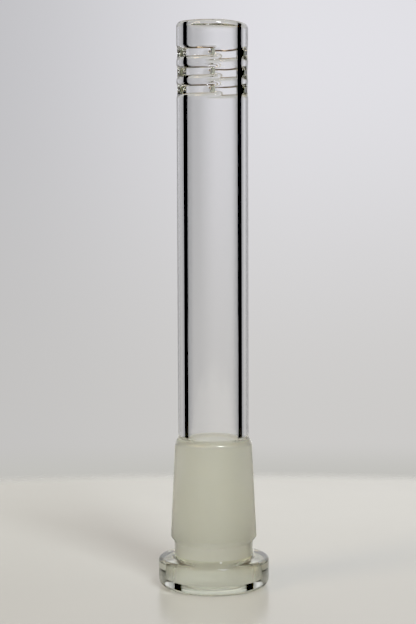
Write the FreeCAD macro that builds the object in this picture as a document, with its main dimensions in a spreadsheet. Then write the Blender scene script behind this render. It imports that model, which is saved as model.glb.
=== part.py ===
"""Slotted glass dip tube adapter with 1:10 ground joints.

The object stands on its mouth flange, with its axis on Z and the origin at the
centre of the mouth face. Going up there are the mouth flange, a short clear
neck, the ground male cone, the fused shoulder and the thick-wall dip tube,
which has opposed pairs of saw-cut slots below its fire-polished tip. The
ground female socket opens at the mouth and runs up inside the neck and cone.

Each sub-part is one glass blank of the fused assembly. They meet face to face.
All lengths are millimetres and all angles are degrees.
"""
import FreeCAD, Part
import os

import Sketcher
from FreeCAD import Placement, Rotation, Vector

# name, value, meaning
SIZES = [
    ("flange_diameter", 24.3, "outer diameter of the mouth flange"),
    ("flange_height", 6.4, "height of the mouth flange"),
    ("flange_top_round", 0.9, "rounding of the flange's upper rim"),
    ("flange_foot_round", 1.8, "rounding of the flange's lower rim"),
    ("neck_length", 3.4, "clear neck between flange and cone"),
    ("cone_large_diameter", 18.8, "large end of the ground male cone"),
    ("cone_length", 20.4, "ground length of the male cone"),
    ("cone_foot_step", 0.8, "how far the cone's foot stands out from the neck"),
    ("cone_foot_rise", 1.2, "height of the bevel under the cone's foot"),
    ("taper_ratio", 10.0, "length over change of diameter, both ground faces"),
    ("sleeve_wall", 0.85, "glass between the cone's face and the socket tube, top"),
    ("socket_wall", 1.35, "glass between the socket's mouth and the neck's face"),
    ("socket_length", 23.0, "ground length of the female socket"),
    ("socket_end_rise", 1.4, "height of the step from the socket to the bore"),
    ("mouth_bevel", 0.5, "bevel inside the socket's mouth"),
    ("shoulder_length", 1.4, "height of the fused shoulder"),
    ("tube_diameter", 15.46, "outer diameter of the dip tube"),
    ("tube_wall", 2.2, "wall of the dip tube"),
    ("tube_length", 90.2, "dip tube from the shoulder to the tip"),
    ("tip_round", 0.9, "fire-polished rounding of the tip, in and out"),
    ("slot_width", 1.4, "height of each saw cut along the tube"),
    ("slot_floor", 4.8, "distance from the axis to a cut's flat floor"),
    ("slot_setback", 6.85, "tip to the middle of the first cut"),
    ("slot_first_pitch", 4.1, "first cut to second cut"),
    ("slot_second_pitch", 3.8, "second cut to third cut"),
    ("slot_edge_round", 0.4, "fire-polished rounding of the slots' outer edges"),
    ("slot_heading", 48.0, "direction of the pairs of slots, from +X"),
]

SHEET = "Sizes"

# Radii and levels that several sub-parts share, written with the sheet's names.
CONE_RADIUS = "(cone_large_diameter / 2)"
CONE_TOP_RADIUS = "(cone_large_diameter / 2 - cone_length / taper_ratio / 2)"
NECK_RADIUS = "(cone_large_diameter / 2 - cone_foot_step)"
LINER_TOP_RADIUS = "(cone_large_diameter / 2 - cone_length / taper_ratio / 2 - sleeve_wall)"
SOCKET_RADIUS = "(cone_large_diameter / 2 - cone_foot_step - socket_wall)"
FLANGE_RADIUS = "(flange_diameter / 2)"
TUBE_RADIUS = "(tube_diameter / 2)"
BORE_RADIUS = "(tube_diameter / 2 - tube_wall)"

NECK_TOP = "(flange_height + neck_length)"
CONE_FOOT = "(flange_height + neck_length + cone_foot_rise)"
CONE_TOP = "(flange_height + neck_length + cone_foot_rise + cone_length)"
SHOULDER_TOP = "(flange_height + neck_length + cone_foot_rise + cone_length + shoulder_length)"


def make_sheet(doc):
    """Spreadsheet with one row per driving size."""
    sheet = doc.addObject("Spreadsheet::Sheet", SHEET)
    for row, (name, value, meaning) in enumerate(SIZES, start=1):
        sheet.set("A%d" % row, name)
        sheet.set("B%d" % row, str(value))
        sheet.set("C%d" % row, meaning)
        sheet.setAlias("B%d" % row, name)
    doc.recompute()
    return sheet


def bind(formula):
    """Formula in the sheet's names, as an expression for another object."""
    names = sorted((name for name, _, _ in SIZES), key=len, reverse=True)
    out = ""
    while formula:
        for name in names:
            if formula.startswith(name):
                out += SHEET + "." + name
                formula = formula[len(name):]
                break
        else:
            out += formula[0]
            formula = formula[1:]
    return out


def value_of(sheet, formula):
    """Number that a formula in the sheet's names gives."""
    return float(sheet.evalExpression(bind(formula)))


def origin_plane(body, role):
    """One of the body's own origin planes."""
    for feature in body.Origin.OriginFeatures:
        if feature.Role == role:
            return feature
    raise ValueError("no plane " + role)


def upright_sketch(body, name):
    """Sketch on the body's XZ plane: across is radius, up is height."""
    sketch = body.newObject("Sketcher::SketchObject", name)
    sketch.AttachmentSupport = [(origin_plane(body, "XZ_Plane"), "")]
    sketch.MapMode = "FlatFace"
    return sketch


def pin_point(sheet, sketch, line, across, up):
    """Fix the start of a line at two bound distances from the origin."""
    for kind, formula, axis in (("DistanceX", across, -2), ("DistanceY", up, -1)):
        if formula == "0":
            sketch.addConstraint(Sketcher.Constraint("PointOnObject", line, 1, axis))
            continue
        value = value_of(sheet, formula)
        index = sketch.addConstraint(Sketcher.Constraint(kind, -1, 1, line, 1, value))
        sketch.setExpression("Constraints[%d]" % index, bind(formula))


def outline(sheet, sketch, corners):
    """Closed outline of straight lines, every corner bound to the sheet."""
    points = []
    for across, up in corners:
        x = value_of(sheet, across) if across != "0" else 0.0
        y = value_of(sheet, up) if up != "0" else 0.0
        points.append(Vector(x, y, 0))
    first = sketch.GeometryCount
    for start, end in zip(points, points[1:] + points[:1]):
        sketch.addGeometry(Part.LineSegment(start, end), False)
    count = len(points)
    for index in range(count):
        line = first + index
        following = first + (index + 1) % count
        sketch.addConstraint(Sketcher.Constraint("Coincident", line, 2, following, 1))
    for index, (across, up) in enumerate(corners):
        pin_point(sheet, sketch, first + index, across, up)


def turned_body(doc, sheet, label, corners):
    """Body made by revolving an outline round the Z axis."""
    body = doc.addObject("PartDesign::Body", label)
    body.Label = label
    sketch = upright_sketch(body, label + "_section")
    outline(sheet, sketch, corners)
    doc.recompute()
    turn = body.newObject("PartDesign::Revolution", label + "_turn")
    turn.Profile = sketch
    turn.ReferenceAxis = (sketch, ["V_Axis"])
    turn.Angle = 360.0
    doc.recompute()
    return body


def circle_edges(body, radius, level):
    """Names of the body's round edges of one radius at one height."""
    names = []
    for number, edge in enumerate(body.Tip.Shape.Edges, start=1):
        if not isinstance(edge.Curve, Part.Circle):
            continue
        same_radius = abs(edge.Curve.Radius - radius) < 1e-4
        same_level = abs(edge.Curve.Center.z - level) < 1e-4
        if same_radius and same_level:
            names.append("Edge%d" % number)
    return names


def round_edges(doc, body, name, edges, formula):
    """Fillet on the named edges, its radius bound to the sheet."""
    if not edges:
        raise ValueError("no edge for " + name)
    fillet = body.newObject("PartDesign::Fillet", name)
    fillet.Base = (body.Tip if body.Tip != fillet else fillet.BaseFeature, edges)
    fillet.setExpression("Radius", bind(formula))
    doc.recompute()
    return fillet


def mouth_flange(doc, sheet):
    """Ring round the neck's lower end, with both outer rims rounded."""
    body = turned_body(doc, sheet, "mouth_flange", [
        (NECK_RADIUS, "0"),
        (FLANGE_RADIUS, "0"),
        (FLANGE_RADIUS, "flange_height"),
        (NECK_RADIUS, "flange_height"),
    ])
    radius = value_of(sheet, FLANGE_RADIUS)
    width = "(" + FLANGE_RADIUS + " - " + NECK_RADIUS + ")"
    top = circle_edges(body, radius, value_of(sheet, "flange_height"))
    round_edges(doc, body, "upper_rim_round", top,
                "min(flange_top_round; 0.8 * " + width + ")")
    foot = circle_edges(body, radius, 0.0)
    round_edges(doc, body, "lower_rim_round", foot,
                "min(flange_foot_round; 0.8 * " + width + ")")
    return body


def socket_tube(doc, sheet):
    """Joint tube: the neck outside, the ground 1:10 socket and the bore inside."""
    end_radius = "(" + SOCKET_RADIUS + " - socket_length / taper_ratio / 2)"
    bevel_radius = "(" + SOCKET_RADIUS + " - mouth_bevel / taper_ratio / 2)"
    return turned_body(doc, sheet, "socket_tube", [
        (NECK_RADIUS, "0"),
        (NECK_RADIUS, NECK_TOP),
        (LINER_TOP_RADIUS, CONE_TOP),
        (BORE_RADIUS, CONE_TOP),
        (BORE_RADIUS, "(socket_length + socket_end_rise)"),
        (end_radius, "socket_length"),
        (bevel_radius, "mouth_bevel"),
        ("(" + SOCKET_RADIUS + " + mouth_bevel)", "0"),
    ])


def cone_sleeve(doc, sheet):
    """Ground male cone round the joint tube, with a bevel under its large end."""
    return turned_body(doc, sheet, "cone_sleeve", [
        (NECK_RADIUS, NECK_TOP),
        (CONE_RADIUS, CONE_FOOT),
        (CONE_TOP_RADIUS, CONE_TOP),
        (LINER_TOP_RADIUS, CONE_TOP),
    ])


def shoulder_seal(doc, sheet):
    """Fused ring that carries the dip tube on the top of the cone."""
    return turned_body(doc, sheet, "shoulder_seal", [
        (BORE_RADIUS, CONE_TOP),
        (CONE_TOP_RADIUS, CONE_TOP),
        (TUBE_RADIUS, SHOULDER_TOP),
        (BORE_RADIUS, SHOULDER_TOP),
    ])


def cut_slots(doc, sheet, body):
    """Opposed pairs of flat-floored saw cuts at three levels below the tip."""
    sketch = upright_sketch(body, "slot_cuts")
    outside = "(" + TUBE_RADIUS + " + tube_wall)"
    first = "(tube_length - slot_setback)"
    second = "(tube_length - slot_setback - slot_first_pitch)"
    third = "(tube_length - slot_setback - slot_first_pitch - slot_second_pitch)"
    for level in (first, second, third):
        low = "(" + level + " - slot_width / 2)"
        high = "(" + level + " + slot_width / 2)"
        for side in ("", "-"):
            near = side + "slot_floor"
            far = side + outside
            outline(sheet, sketch, [(near, low), (far, low), (far, high), (near, high)])
    doc.recompute()
    solid_before = body.Shape.Volume
    pocket = body.newObject("PartDesign::Pocket", "slot_pocket")
    pocket.Profile = sketch
    pocket.Type = "ThroughAll"
    pocket.Midplane = True
    doc.recompute()
    if not body.Shape.Volume < solid_before:
        raise ValueError("the slots cut nothing")


def slot_outer_edges(body, sheet):
    """Edges where the slots' faces meet the tube's outer face."""
    radius = value_of(sheet, TUBE_RADIUS)
    top = value_of(sheet, "tube_length - slot_setback + slot_width")
    names = []
    for number, edge in enumerate(body.Tip.Shape.Edges, start=1):
        box = edge.BoundBox
        if box.ZMin < 1.0 or box.ZMax > top or box.ZLength > 0.6 * top:
            continue
        ends = [edge.valueAt(edge.FirstParameter), edge.valueAt(edge.LastParameter)]
        middle = edge.valueAt((edge.FirstParameter + edge.LastParameter) / 2)
        reach = [Vector(p.x, p.y, 0).Length for p in ends + [middle]]
        if all(abs(r - radius) < 1e-3 for r in reach):
            names.append("Edge%d" % number)
    return names


def slotted_dip_tube(doc, sheet):
    """Thick-wall tube with a fire-polished tip and opposed slots below it."""
    body = turned_body(doc, sheet, "slotted_dip_tube", [
        (BORE_RADIUS, "0"),
        (TUBE_RADIUS, "0"),
        (TUBE_RADIUS, "tube_length"),
        (BORE_RADIUS, "tube_length"),
    ])
    tip = value_of(sheet, "tube_length")
    rim = circle_edges(body, value_of(sheet, TUBE_RADIUS), tip)
    rim += circle_edges(body, value_of(sheet, BORE_RADIUS), tip)
    round_edges(doc, body, "tip_polish", rim, "min(tip_round; 0.45 * tube_wall)")
    cut_slots(doc, sheet, body)
    round_edges(doc, body, "slot_polish", slot_outer_edges(body, sheet),
                "min(slot_edge_round; 0.3 * slot_width)")
    level = value_of(sheet, SHOULDER_TOP)
    heading = value_of(sheet, "slot_heading")
    body.Placement = Placement(Vector(0, 0, level), Rotation(Vector(0, 0, 1), heading))
    body.setExpression("Placement.Base.z", bind(SHOULDER_TOP))
    return body


def check(doc, parts):
    """Stop if any object failed or any sub-part isn't one valid solid."""
    for item in doc.Objects:
        if "Invalid" in item.State or "Error" in item.State:
            raise ValueError("%s is in state %s" % (item.Name, item.State))
    for part in parts:
        if part.Shape.isNull() or not part.Shape.isValid():
            raise ValueError(part.Label + " has no valid shape")
        if len(part.Shape.Solids) != 1:
            raise ValueError(part.Label + " isn't one solid")


def main():
    doc = FreeCAD.newDocument("dip_tube_adapter")
    sheet = make_sheet(doc)
    parts = [
        mouth_flange(doc, sheet),
        socket_tube(doc, sheet),
        cone_sleeve(doc, sheet),
        shoulder_seal(doc, sheet),
        slotted_dip_tube(doc, sheet),
    ]
    doc.recompute()
    check(doc, parts)
    os.makedirs("parts", exist_ok=True)
    for part in parts:
        part.Shape.exportStep(os.path.join("parts", part.Label + ".step"))
        box = part.Shape.BoundBox
        print("%-18s volume %9.2f  z %7.2f to %7.2f  across %6.2f"
              % (part.Label, part.Shape.Volume, box.ZMin, box.ZMax, box.XLength))


main()
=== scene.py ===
import math

import bpy
import numpy as np
from mathutils import Matrix, Vector

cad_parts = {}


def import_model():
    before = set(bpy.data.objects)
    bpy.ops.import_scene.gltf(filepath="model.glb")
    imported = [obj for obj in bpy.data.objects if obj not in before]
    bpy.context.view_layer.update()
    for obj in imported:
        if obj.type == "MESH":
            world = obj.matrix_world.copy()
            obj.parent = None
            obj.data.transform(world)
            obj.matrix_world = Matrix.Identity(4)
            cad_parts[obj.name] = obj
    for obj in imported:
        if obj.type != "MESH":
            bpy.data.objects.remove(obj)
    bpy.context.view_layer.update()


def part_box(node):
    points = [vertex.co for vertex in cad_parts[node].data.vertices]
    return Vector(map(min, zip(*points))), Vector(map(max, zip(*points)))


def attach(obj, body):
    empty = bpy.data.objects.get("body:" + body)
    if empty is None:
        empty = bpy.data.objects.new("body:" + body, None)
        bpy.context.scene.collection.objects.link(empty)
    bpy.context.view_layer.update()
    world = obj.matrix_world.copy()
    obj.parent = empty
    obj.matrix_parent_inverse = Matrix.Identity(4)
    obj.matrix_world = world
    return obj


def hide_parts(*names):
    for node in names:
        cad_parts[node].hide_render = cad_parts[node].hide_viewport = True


MM = 0.001
TURN = 2 * math.pi
SEGMENTS = 288
SEAM_GAP = 0.002  # mm, between two blanks that are fused

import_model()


# ---------------------------------------------------------------- sizes from the frame (mm)
def low(node):
    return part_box(node)[0] / MM


def high(node):
    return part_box(node)[1] / MM


FLANGE_R = high("mouth_flange").x
FLANGE_TOP = high("mouth_flange").z
NECK_R = high("socket_tube").x
NECK_TOP = low("cone_sleeve").z
CONE_R = high("cone_sleeve").x
CONE_TOP = high("cone_sleeve").z
CONE_TOP_R = high("shoulder_seal").x
TUBE_FOOT = high("shoulder_seal").z
TUBE_R = high("slotted_dip_tube").x
TIP = high("slotted_dip_tube").z

# sizes that the boxes don't show (mm)
BORE_R = 5.53
TAPER = 1 / 20  # radius lost for each mm up a 1:10 taper
CONE_FOOT = NECK_TOP + 1.2
SLEEVE_WALL = 0.85
LINER_TOP_R = CONE_TOP_R - SLEEVE_WALL
SOCKET_WALL = 1.35
SOCKET_R = NECK_R - SOCKET_WALL
SOCKET_TOP = 23.0
SOCKET_END_RISE = 1.4
FLANGE_TOP_ROUND = 0.85
FLANGE_FOOT_ROUND = 1.8
FLANGE_FILLET = 0.6
MOUTH_LIP = 1.4  # clear glass below the ground socket
MOUTH_FLARE = 1.0
SLOT_HEADING = math.radians(48)
SLOT_FLOOR = 4.8
SLOT_WIDTH = 1.4
SLOT_CORNER = 0.35
SLOT_POLISH = 1.0
SAWN_DEPTH = 0.02  # faces this near a saw cut keep its texture
SLOT_SETBACKS = (6.85, 10.95, 14.75)
SLOT_LEVELS = [TIP - setback for setback in SLOT_SETBACKS]
TIP_INSET = 0.05  # keeps the uneven tip below the CAD's
TIP_UNEVEN = 0.55
TIP_OUTER_ROUND = 1.1
TIP_INNER_ROUND = 0.3


# ---------------------------------------------------------------- materials
class Nodes:
    """Short way to add and link shader nodes."""

    def __init__(self, tree):
        self.tree = tree
        tree.nodes.clear()

    def add(self, kind, x=0, y=0, **values):
        node = self.tree.nodes.new(kind)
        node.location = (x, y)
        for name, value in values.items():
            setattr(node, name, value)
        return node

    def link(self, out, into):
        self.tree.links.new(out, into)

    def math(self, operation, a, b=None, c=None, clamp=False):
        node = self.add("ShaderNodeMath", operation=operation, use_clamp=clamp)
        for socket, value in zip(node.inputs, (a, b, c)):
            if value is None:
                continue
            if isinstance(value, (int, float)):
                socket.default_value = value
            else:
                self.link(value, socket)
        return node.outputs[0]

    def ramp(self, value, start, end, low=0.0, high=1.0):
        node = self.add("ShaderNodeMapRange", interpolation_type="SMOOTHSTEP")
        self.link(value, node.inputs["Value"])
        limits = {"From Min": start, "From Max": end, "To Min": low, "To Max": high}
        for name, number in limits.items():
            if isinstance(number, (int, float)):
                node.inputs[name].default_value = number
            else:
                self.link(number, node.inputs[name])
        return node.outputs["Result"]

    def blend(self, factor, first, second):
        node = self.add("ShaderNodeMix", data_type="RGBA")
        sockets = (node.inputs[0], node.inputs[6], node.inputs[7])
        for socket, value in zip(sockets, (factor, first, second)):
            if isinstance(value, (int, float)):
                socket.default_value = value
            elif isinstance(value, tuple):
                socket.default_value = (*value, 1.0)
            else:
                self.link(value, socket)
        return node.outputs[2]


def new_material(name):
    material = bpy.data.materials.new(name)
    material.use_nodes = True
    return material, Nodes(material.node_tree)


def clear_glass(name, tint, streak_height):
    """Fire-polished borosilicate with faint streaks along the axis, their height in metres."""
    material, n = new_material(name)
    out = n.add("ShaderNodeOutputMaterial", 600, 0)
    shader = n.add("ShaderNodeBsdfPrincipled", 300, 0)
    shader.inputs["Base Color"].default_value = (*tint, 1.0)
    shader.inputs["Roughness"].default_value = 0.0
    shader.inputs["IOR"].default_value = 1.47
    shader.inputs["Transmission Weight"].default_value = 1.0
    coords = n.add("ShaderNodeTexCoord", -700, -200)
    mapping = n.add("ShaderNodeMapping", -500, -200)
    mapping.inputs["Scale"].default_value = (1.0, 1.0, 0.06)
    n.link(coords.outputs["Object"], mapping.inputs["Vector"])
    noise = n.add("ShaderNodeTexNoise", -300, -200)
    noise.inputs["Scale"].default_value = 260.0
    noise.inputs["Detail"].default_value = 1.0
    n.link(mapping.outputs["Vector"], noise.inputs["Vector"])
    bump = n.add("ShaderNodeBump", 0, -200)
    bump.inputs["Strength"].default_value = 0.12
    bump.inputs["Distance"].default_value = streak_height
    n.link(noise.outputs["Fac"], bump.inputs["Height"])
    n.link(bump.outputs["Normal"], shader.inputs["Normal"])
    n.link(shader.outputs[0], out.inputs["Surface"])
    return material


def frosted_glass(name, tones, roughness, cloud_scale, grain_height, coat=0.0, ior=1.47):
    """Glass whose face scatters: cloudy in tone and roughness, with a fine grain.

    A coat is a clear outer face over frosting that is really on the inside.
    """
    material, n = new_material(name)
    out = n.add("ShaderNodeOutputMaterial", 600, 0)
    shader = n.add("ShaderNodeBsdfPrincipled", 300, 0)
    shader.inputs["IOR"].default_value = ior
    shader.inputs["Transmission Weight"].default_value = 1.0
    coords = n.add("ShaderNodeTexCoord", -900, -200)
    cloud = n.add("ShaderNodeTexNoise", -600, 200)
    cloud.inputs["Scale"].default_value = cloud_scale
    cloud.inputs["Detail"].default_value = 3.0
    n.link(coords.outputs["Object"], cloud.inputs["Vector"])
    n.link(n.blend(cloud.outputs["Fac"], *tones), shader.inputs["Base Color"])
    n.link(n.ramp(cloud.outputs["Fac"], 0.3, 0.7, *roughness), shader.inputs["Roughness"])
    grain = n.add("ShaderNodeTexNoise", -600, -200)
    grain.inputs["Scale"].default_value = 5000.0
    grain.inputs["Detail"].default_value = 2.0
    n.link(coords.outputs["Object"], grain.inputs["Vector"])
    bump = n.add("ShaderNodeBump", 0, -200)
    bump.inputs["Strength"].default_value = 0.3
    bump.inputs["Distance"].default_value = grain_height
    n.link(grain.outputs["Fac"], bump.inputs["Height"])
    n.link(bump.outputs["Normal"], shader.inputs["Normal"])
    shader.inputs["Coat Weight"].default_value = coat
    shader.inputs["Coat Roughness"].default_value = 0.02
    n.link(shader.outputs[0], out.inputs["Surface"])
    return material


def fused_seam():
    """Face inside the glass where two blanks are fused: nothing shows there."""
    material, n = new_material("fused_seam")
    out = n.add("ShaderNodeOutputMaterial", 600, 0)
    shader = n.add("ShaderNodeBsdfTransparent", 300, 0)
    n.link(shader.outputs[0], out.inputs["Surface"])
    return material


GLASS, THICK, GROUND, BORE, SATIN, SAWN, SEAM = range(7)
MATERIALS = [
    clear_glass("clear_glass", (1.0, 1.0, 1.0), 0.00004),
    clear_glass("thick_glass", (0.935, 0.95, 0.87), 0.0003),
    frosted_glass(
        "ground_glass", tones=((0.955, 0.96, 0.90), (0.99, 0.995, 0.945)),
        roughness=(0.70, 0.80), cloud_scale=140.0, grain_height=0.00003,
    ),
    frosted_glass(
        "ground_bore", tones=((0.91, 0.915, 0.85), (0.95, 0.95, 0.89)),
        roughness=(0.80, 0.90), cloud_scale=140.0, grain_height=0.00003, ior=1.2,
    ),
    frosted_glass(
        "satin_glass", tones=((0.98, 0.985, 0.95), (1.0, 1.0, 0.98)),
        roughness=(0.30, 0.38), cloud_scale=200.0, grain_height=0.00001, coat=1.0,
    ),
    frosted_glass(
        "sawn_glass", tones=((0.56, 0.63, 0.42), (0.83, 0.87, 0.69)),
        roughness=(0.42, 0.60), cloud_scale=1400.0, grain_height=0.00001,
    ),
    fused_seam(),
]


# ---------------------------------------------------------------- mesh helpers
def make_object(name, points, faces, kinds, normals=None):
    mesh = bpy.data.meshes.new(name)
    mesh.from_pydata(np.asarray(points) * MM, [], faces)
    for material in MATERIALS:
        mesh.materials.append(material)
    mesh.polygons.foreach_set("material_index", kinds)
    mesh.polygons.foreach_set("use_smooth", [True] * len(faces))
    if normals is not None:
        mesh.normals_split_custom_set_from_vertices(normals)
    mesh.update()
    piece = bpy.data.objects.new(name, mesh)
    bpy.context.scene.collection.objects.link(piece)
    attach(piece, "root")
    return piece


def arc(centre, radius, start, end, count=14):
    """Points of an arc in the section, angles in degrees from outwards to up."""
    angles = np.radians(np.linspace(start, end, count))
    return [(centre[0] + radius * math.cos(a), centre[1] + radius * math.sin(a)) for a in angles]


def turned(name, section):
    """Solid of revolution. section is a closed loop of runs (kind, points)."""
    ring_points, kinds = [], []
    for kind, run in section:
        for point in run[:-1]:
            ring_points.append(point)
            kinds.append(kind)
    count = len(ring_points)
    angles = np.arange(SEGMENTS) * TURN / SEGMENTS
    r = np.array([p[0] for p in ring_points])
    z = np.array([p[1] for p in ring_points])
    x = np.cos(angles)[:, None] * r
    y = np.sin(angles)[:, None] * r
    points = np.stack([x, y, np.broadcast_to(z, x.shape)], -1).reshape(-1, 3)
    faces, face_kinds = [], []
    for i in range(SEGMENTS):
        a, b = i * count, (i + 1) % SEGMENTS * count
        for j in range(count):
            k = (j + 1) % count
            faces.append((a + j, b + j, b + k, a + k))
            face_kinds.append(kinds[j])
    piece = make_object(name, points, faces, face_kinds)
    piece.data.set_sharp_from_angle(angle=math.radians(24))
    return piece


def line(*points, step=0.6):
    """Points along straight runs, split so that no piece is longer than step."""
    out = [points[0]]
    for a, b in zip(points, points[1:]):
        parts = max(1, math.ceil(math.dist(a, b) / step))
        for i in range(1, parts + 1):
            t = i / parts
            out.append((a[0] + (b[0] - a[0]) * t, a[1] + (b[1] - a[1]) * t))
    return out


# ---------------------------------------------------------------- the blanks
def mouth_flange():
    inner = NECK_R + SEAM_GAP
    foot, top, fillet = FLANGE_FOOT_ROUND, FLANGE_TOP_ROUND, FLANGE_FILLET
    outside = (
        line((inner, 0), (FLANGE_R - foot, 0))
        + arc((FLANGE_R - foot, foot), foot, -90, 0, 18)[1:]
        + arc((FLANGE_R - top, FLANGE_TOP - top), top, 0, 90)
        + arc((inner + fillet, FLANGE_TOP + fillet), fillet, 270, 180)
    )
    inside = line(outside[-1], outside[0])
    return turned("mouth_flange_glass", [(THICK, outside), (SEAM, inside)])


def socket_tube():
    end_r = SOCKET_R - SOCKET_TOP * TAPER
    lip_r = SOCKET_R - MOUTH_LIP * TAPER
    top = CONE_TOP - SEAM_GAP
    fillet_top = FLANGE_TOP + FLANGE_FILLET
    bore_foot = SOCKET_TOP + SOCKET_END_RISE
    seam_out = line((NECK_R, 0), (NECK_R, fillet_top))
    neck = line((NECK_R, fillet_top), (NECK_R, NECK_TOP))
    seam_up = line((NECK_R, NECK_TOP), (LINER_TOP_R - SEAM_GAP, top), (BORE_R, top))
    bore = line((BORE_R, top), (BORE_R, bore_foot))
    widening = end_r - BORE_R
    step = [
        (BORE_R + widening * (0.5 - 0.5 * math.cos(math.pi * t)), SOCKET_TOP + SOCKET_END_RISE * (1 - t))
        for t in np.linspace(0, 1, 12)
    ]
    ground = line((end_r, SOCKET_TOP), (lip_r, MOUTH_LIP))
    flare = [
        (lip_r + MOUTH_FLARE * (1 - math.cos(t)), MOUTH_LIP * (1 - math.sin(t)))
        for t in np.linspace(0, math.pi / 2, 14)
    ]
    mouth = flare + [(NECK_R, 0)]
    return turned("socket_tube_glass", [
        (SEAM, seam_out), (SATIN, neck), (SEAM, seam_up),
        (BORE, bore), (BORE, step), (BORE, ground), (THICK, mouth),
    ])


def cone_sleeve():
    foot = (NECK_R + SEAM_GAP, NECK_TOP)
    top = CONE_TOP - SEAM_GAP
    bevel = line(foot, (CONE_R, CONE_FOOT))
    face = line((CONE_R, CONE_FOOT), (CONE_TOP_R, top))
    seam = line((CONE_TOP_R, top), (LINER_TOP_R, top), foot)
    return turned("cone_sleeve_ground", [(GROUND, bevel + face[1:]), (SEAM, seam)])


def shoulder_seal():
    edge_round, edge_rise, fillet_round, bead_height = 0.9, 0.15, 0.55, 0.22
    rounding = arc((CONE_TOP_R - edge_round, CONE_TOP + edge_rise), edge_round, 0, 50, 10)
    edge = [(CONE_TOP_R, CONE_TOP)] + rounding
    fillet = [edge[-1]] + arc((TUBE_R + fillet_round, TUBE_FOOT), fillet_round, 225, 180, 10)
    bead = [
        (BORE_R - bead_height * math.sin(math.pi * t) ** 2, TUBE_FOOT + (CONE_TOP - TUBE_FOOT) * t)
        for t in np.linspace(0, 1, 17)
    ]
    return turned("shoulder_seal_glass", [
        (SATIN, edge),
        (GROUND, fillet),
        (SEAM, line((TUBE_R, TUBE_FOOT), (BORE_R, TUBE_FOOT))),
        (GROUND, bead),
        (SEAM, line((BORE_R, CONE_TOP), (CONE_TOP_R, CONE_TOP))),
    ])


def round_max(a, b, radius):
    """Greater of two distances, with the edge between them rounded."""
    u = np.maximum(a + radius, 0)
    v = np.maximum(b + radius, 0)
    return np.minimum(-radius, np.maximum(a, b)) + np.hypot(u, v)


def kerf_distance(p, level):
    """Distance to the pair of opposed saw cuts at a level, negative inside a cut (mm)."""
    across = p[..., 0] * math.cos(SLOT_HEADING) + p[..., 1] * math.sin(SLOT_HEADING)
    a = np.abs(p[..., 2] - level) - SLOT_WIDTH / 2 + SLOT_CORNER
    b = SLOT_FLOOR - np.abs(across) + SLOT_CORNER
    return np.minimum(np.maximum(a, b), 0) + np.hypot(np.maximum(a, 0), np.maximum(b, 0)) - SLOT_CORNER


def tube_distance(p):
    """Distance to the slotted tube's surface, negative in the glass (mm)."""
    x, y, z = p[..., 0], p[..., 1], p[..., 2]
    rho = np.hypot(x, y)
    rim = z - (TIP - TIP_INSET - TIP_UNEVEN * (np.maximum(x, 0) / TUBE_R) ** 2)
    outer = round_max(rho - TUBE_R, rim, TIP_OUTER_ROUND)
    inner = round_max(BORE_R - rho, rim, TIP_INNER_ROUND)
    solid = np.maximum(outer, inner)
    for level in SLOT_LEVELS:
        solid = round_max(solid, -kerf_distance(p, level), SLOT_POLISH)
    return solid


def gradient(p, step=0.002):
    out = np.zeros_like(p)
    for axis in range(3):
        shift = np.zeros(3)
        shift[axis] = step
        out[..., axis] = (tube_distance(p + shift) - tube_distance(p - shift)) / (2 * step)
    return out


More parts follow.
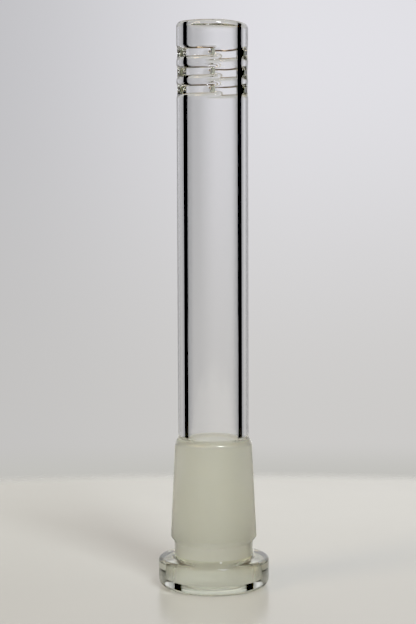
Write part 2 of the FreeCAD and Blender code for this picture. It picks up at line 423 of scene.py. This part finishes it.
def slotted_tube():
    """Surface net of the tube's distance on a grid of turns, radii and levels."""
    margin, fine_step, turn_step = 0.28, 0.12, TURN / SEGMENTS
    radii = np.linspace(BORE_R - margin, TUBE_R + margin, 20)
    fine_low, fine_high = SLOT_LEVELS[-1] - 3.2, TIP + margin
    coarse = np.linspace(TUBE_FOOT, fine_low, 40)
    half = (coarse[1] - coarse[0]) / 2
    levels = np.concatenate([[TUBE_FOOT + SEAM_GAP - half], coarse + half + SEAM_GAP])[:-1]
    levels = np.concatenate([levels, np.arange(fine_low + half, fine_high, fine_step)])
    angles = np.arange(SEGMENTS) * turn_step - turn_step / 2
    A, R, Z = np.meshgrid(angles, radii, levels, indexing="ij")
    grid = np.stack([R * np.cos(A), R * np.sin(A), Z], -1)
    inside = tube_distance(grid) < 0
    # one vertex for each cell that the surface crosses
    turned_in = np.roll(inside, -1, axis=0)
    total = sum(
        part[:, j:j + len(radii) - 1, k:k + len(levels) - 1].astype(int)
        for part in (inside, turned_in) for j in (0, 1) for k in (0, 1)
    )
    active = (total > 0) & (total < 8)
    index = -np.ones(active.shape, int)
    index[active] = np.arange(active.sum())
    i, j, k = np.nonzero(active)
    angle = angles[i] + turn_step / 2
    radius = (radii[j] + radii[j + 1]) / 2
    level = (levels[k] + levels[k + 1]) / 2
    points = np.stack([radius * np.cos(angle), radius * np.sin(angle), level], -1)
    for _ in range(12):
        g = gradient(points)
        length2 = np.maximum((g * g).sum(-1), 0.2)
        points -= (tube_distance(points) / length2)[:, None] * g
    # one face for each grid edge that the surface crosses
    quads = []
    na, nr, nz = active.shape

    def add(starts_inside, ends_inside, cells):
        corners = [index[c] for c in cells]
        ok = starts_inside != ends_inside
        for c in corners:
            ok &= c >= 0
        q = np.stack([c[ok] for c in corners], -1)
        flip = starts_inside[ok]
        q[flip] = q[flip][:, ::-1]
        quads.append(q)

    def cells(first_r, first_z):
        ranges = np.arange(na), np.arange(first_r, nr), np.arange(first_z, nz)
        a, r, z = np.meshgrid(*ranges, indexing="ij")
        return a, (a - 1) % na, r, z

    a, before, r, z = cells(1, 1)
    add(inside[:, 1:-1, 1:-1], turned_in[:, 1:-1, 1:-1],
        [(a, r - 1, z - 1), (a, r, z - 1), (a, r, z), (a, r - 1, z)])
    a, before, r, z = cells(0, 1)
    add(inside[:, :-1, 1:-1], inside[:, 1:, 1:-1],
        [(before, r, z - 1), (a, r, z - 1), (a, r, z), (before, r, z)])
    a, before, r, z = cells(1, 0)
    add(inside[:, 1:-1, :-1], inside[:, 1:-1, 1:],
        [(before, r - 1, z), (a, r - 1, z), (a, r, z), (before, r, z)])
    quads = np.concatenate(quads)
    # fused face at the tube's foot, between the two lowest rings
    lowest = index[:, :, 0]
    outer = lowest.max(axis=1)
    inner = np.where(lowest >= 0, lowest, len(points)).min(axis=1)
    after = np.roll(np.arange(na), -1)
    foot = np.stack([outer, inner, inner[after], outer[after]], -1)
    middle = points[quads].mean(1)
    kerf_gap = np.min([np.abs(kerf_distance(middle, level)) for level in SLOT_LEVELS], axis=0)
    kinds = np.concatenate([np.where(kerf_gap < SAWN_DEPTH, SAWN, GLASS), np.full(len(foot), SEAM)])
    faces = np.concatenate([quads, foot])
    g = gradient(points)
    normals = g / np.linalg.norm(g, axis=-1, keepdims=True)
    corners = points[faces]
    facing = np.cross(corners[:, 2] - corners[:, 0], corners[:, 3] - corners[:, 1])
    outward = normals[faces].sum(1)
    outward[len(quads):] = (0, 0, -1)
    wrong = (facing * outward).sum(-1) < 0
    faces[wrong] = faces[wrong][:, ::-1]
    name = "slotted_dip_tube_glass"
    return make_object(name, points, faces.tolist(), kinds.tolist(), normals.tolist())


for make, node, slot in (
    (mouth_flange, "mouth_flange", "clear_glass"),
    (socket_tube, "socket_tube", "clear_glass"),
    (cone_sleeve, "cone_sleeve", "ground_glass"),
    (shoulder_seal, "shoulder_seal", "clear_glass"),
    (slotted_tube, "slotted_dip_tube", "clear_glass"),
):
    piece = make()
    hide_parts(node)


# ---------------------------------------------------------------- stage
def floor():
    """Pale glossy table whose edge fades, slowly towards the camera and quickly at the back; its colour
    carries painted shade towards the camera and it glows with that colour as painted light.
    """
    centre_y, radius, back_fade, front_fade = -0.190, 0.333, 0.018, 0.22
    # painted shade: darker table colour used towards the camera
    front_painted_shade_tone = (0.450, 0.453, 0.428)
    cloudy_tones = (0.518, 0.526, 0.494), (0.555, 0.564, 0.532)
    count = 128
    mesh = bpy.data.meshes.new("stage_floor")
    points = [(0, centre_y, 0)]
    for i in range(count):
        a = TURN * i / count
        points.append((radius * math.cos(a), centre_y + radius * math.sin(a), 0))
    faces = [(0, 1 + i, 1 + (i + 1) % count) for i in range(count)]
    mesh.from_pydata(points, [], faces)
    material, n = new_material("stage_floor")
    out = n.add("ShaderNodeOutputMaterial", 600, 0)
    shader = n.add("ShaderNodeBsdfPrincipled", 300, 0)
    coords = n.add("ShaderNodeTexCoord", -900, 0)
    split = n.add("ShaderNodeSeparateXYZ", -700, 0)
    n.link(coords.outputs["Object"], split.inputs[0])
    x, y = split.outputs["X"], split.outputs["Y"]
    cloud = n.add("ShaderNodeTexNoise", -600, 300)
    cloud.inputs["Scale"].default_value = 30.0
    cloud.inputs["Detail"].default_value = 4.0
    n.link(coords.outputs["Object"], cloud.inputs["Vector"])
    tone = n.blend(cloud.outputs["Fac"], *cloudy_tones)
    # painted shade: the table's colour darkens towards the camera
    tone = n.blend(n.ramp(y, -0.04, 0.11), front_painted_shade_tone, tone)
    n.link(tone, shader.inputs["Base Color"])
    # painted light: the table glows with its own colour, painted shade included, to stay bright without
    # lamps
    n.link(tone, shader.inputs["Emission Color"])
    shader.inputs["Emission Strength"].default_value = 0.31
    shader.inputs["Roughness"].default_value = 0.22
    shader.inputs["Specular IOR Level"].default_value = 0.35
    dy = n.math("SUBTRACT", y, centre_y)
    dist = n.math("SQRT", n.math("ADD", n.math("MULTIPLY", x, x), n.math("MULTIPLY", dy, dy)))
    fade_start = n.ramp(y, centre_y - 0.12, centre_y, radius - front_fade, radius - back_fade)
    edge = n.ramp(dist, fade_start, radius)
    clear = n.add("ShaderNodeBsdfTransparent", 300, -300)
    mix = n.add("ShaderNodeMixShader", 450, 0)
    n.link(edge, mix.inputs[0])
    n.link(shader.outputs[0], mix.inputs[1])
    n.link(clear.outputs[0], mix.inputs[2])
    n.link(mix.outputs[0], out.inputs["Surface"])
    mesh.materials.append(material)
    piece = bpy.data.objects.new("stage_floor", mesh)
    piece.location.z = -0.00001
    bpy.context.scene.collection.objects.link(piece)


def world():
    """Pale room with a brighter backdrop; the glass also catches two black cards beside the backdrop."""
    w = bpy.data.worlds.new("studio")
    bpy.context.scene.world = w
    w.use_nodes = True
    n = Nodes(w.node_tree)
    out = n.add("ShaderNodeOutputWorld", 600, 0)
    background = n.add("ShaderNodeBackground", 300, 0)
    coords = n.add("ShaderNodeTexCoord", -900, 0)
    split = n.add("ShaderNodeSeparateXYZ", -700, 0)
    n.link(coords.outputs["Generated"], split.inputs[0])
    turn = n.math("ARCTAN2", split.outputs["X"], split.outputs["Y"])
    turn = n.math("MULTIPLY", turn, 180 / math.pi)
    side = n.math("ABSOLUTE", turn)
    rise = n.math("MULTIPLY", n.math("ARCSINE", split.outputs["Z"]), 180 / math.pi)
    backdrop_end, card_end = 38.0, 66.0
    # the backdrop, a little brighter to the right and upwards
    right = n.ramp(turn, -9.3, 3.3)
    up = n.ramp(rise, -9.5, 4.6)
    low_tone = n.blend(right, (0.566, 0.558, 0.550), (0.622, 0.612, 0.600))
    high_tone = n.blend(right, (0.545, 0.543, 0.560), (0.765, 0.760, 0.795))
    tone = n.blend(up, low_tone, high_tone)
    # its ends fall off, which only shows through the glass
    path = n.add("ShaderNodeLightPath", -900, -300)
    in_glass = n.math("SUBTRACT", 1.0, path.outputs["Is Camera Ray"])
    fall_off = n.math("MULTIPLY", n.ramp(side, 12.0, backdrop_end), in_glass)
    tone = n.blend(fall_off, tone, (0.38, 0.38, 0.39))
    # the rest of the room, dim where the glass mirrors it
    mirrored = n.math("GREATER_THAN", path.outputs["Glossy Depth"], 0.5)
    room = n.blend(mirrored, (0.52, 0.52, 0.525), (0.10, 0.10, 0.10))
    tone = n.blend(n.ramp(side, backdrop_end, card_end), tone, room)
    # dim ceiling
    tone = n.blend(n.ramp(rise, 26.0, 38.0), tone, (0.11, 0.065, 0.035))
    # pale table all round, below
    tone = n.blend(n.ramp(rise, -10.2, -9.0, 1.0, 0.0), tone, (0.56, 0.555, 0.53))
    # brown bench under it, seen only in the glass
    bench = n.math("MULTIPLY", n.ramp(rise, -34.0, -29.5, 1.0, 0.0), in_glass)
    tone = n.blend(bench, tone, (0.20, 0.12, 0.06))
    # two black cards beside the backdrop, seen only in the glass, lower where it mirrors them
    card_foot = n.math("MULTIPLY_ADD", mirrored, -14.4, -5.6)
    card = n.math(
        "MULTIPLY",
        n.ramp(side, backdrop_end, backdrop_end + 1.5),
        n.ramp(side, card_end, card_end + 6.0, 1.0, 0.0),
    )
    card = n.math("MULTIPLY", card, n.ramp(n.math("SUBTRACT", rise, card_foot), 0.0, 1.0))
    tone = n.blend(n.math("MULTIPLY", card, in_glass), tone, (0.0, 0.0, 0.0))
    n.link(tone, background.inputs["Color"])
    n.link(background.outputs[0], out.inputs["Surface"])


def softbox(name, place, target, size, power, colour):
    """Rectangular lamp, in metres and watts, that faces its target."""
    data = bpy.data.lights.new(name, "AREA")
    data.shape = "RECTANGLE"
    data.size, data.size_y = size
    data.energy = power
    data.color = colour
    lamp = bpy.data.objects.new(name, data)
    lamp.location = place
    lamp.rotation_mode = "QUATERNION"
    lamp.rotation_quaternion = (Vector(target) - Vector(place)).to_track_quat("-Z", "Y")
    bpy.context.scene.collection.objects.link(lamp)


def camera():
    """Camera fitted to the widths and ellipses in the photo, tilted a little down."""
    data = bpy.data.cameras.new("camera")
    data.sensor_width = 36.0
    data.lens = 99.62
    data.clip_start, data.clip_end = 0.01, 20.0
    cam = bpy.data.objects.new("camera", data)
    pitch, roll = 0.0840, math.radians(0.2)
    cam.matrix_world = (
        Matrix.Translation((-0.0011, -0.375, 0.09186))
        @ Matrix.Rotation(math.pi / 2 - pitch, 4, "X")
        @ Matrix.Rotation(-roll, 4, "Z")
    )
    bpy.context.scene.collection.objects.link(cam)
    bpy.context.scene.camera = cam


floor()
world()
softbox(
    "top_softbox", place=(0.0, 0.10, 0.75), target=(0.0, 0.0, 0.0),
    size=(0.3, 0.3), power=0.7, colour=(1.0, 0.96, 0.90),
)
softbox(
    "window_right", place=(0.30, -0.61, 0.86), target=(0.0, 0.0, 0.06),
    size=(0.25, 0.42), power=7.0, colour=(0.95, 0.98, 1.0),
)
softbox(
    "lamp_left", place=(-0.77, -0.46, 0.93), target=(0.0, 0.0, 0.06),
    size=(0.44, 0.40), power=4.2, colour=(1.0, 0.78, 0.52),
)
camera()

scene = bpy.context.scene
scene.view_settings.view_transform = "Standard"
scene.view_settings.use_curve_mapping = True
scene.view_settings.curve_mapping.black_level = (0.045, 0.045, 0.045)
scene.view_settings.curve_mapping.update()
scene.cycles.max_bounces = 32
scene.cycles.transmission_bounces = 32
scene.cycles.glossy_bounces = 16
scene.cycles.transparent_max_bounces = 32
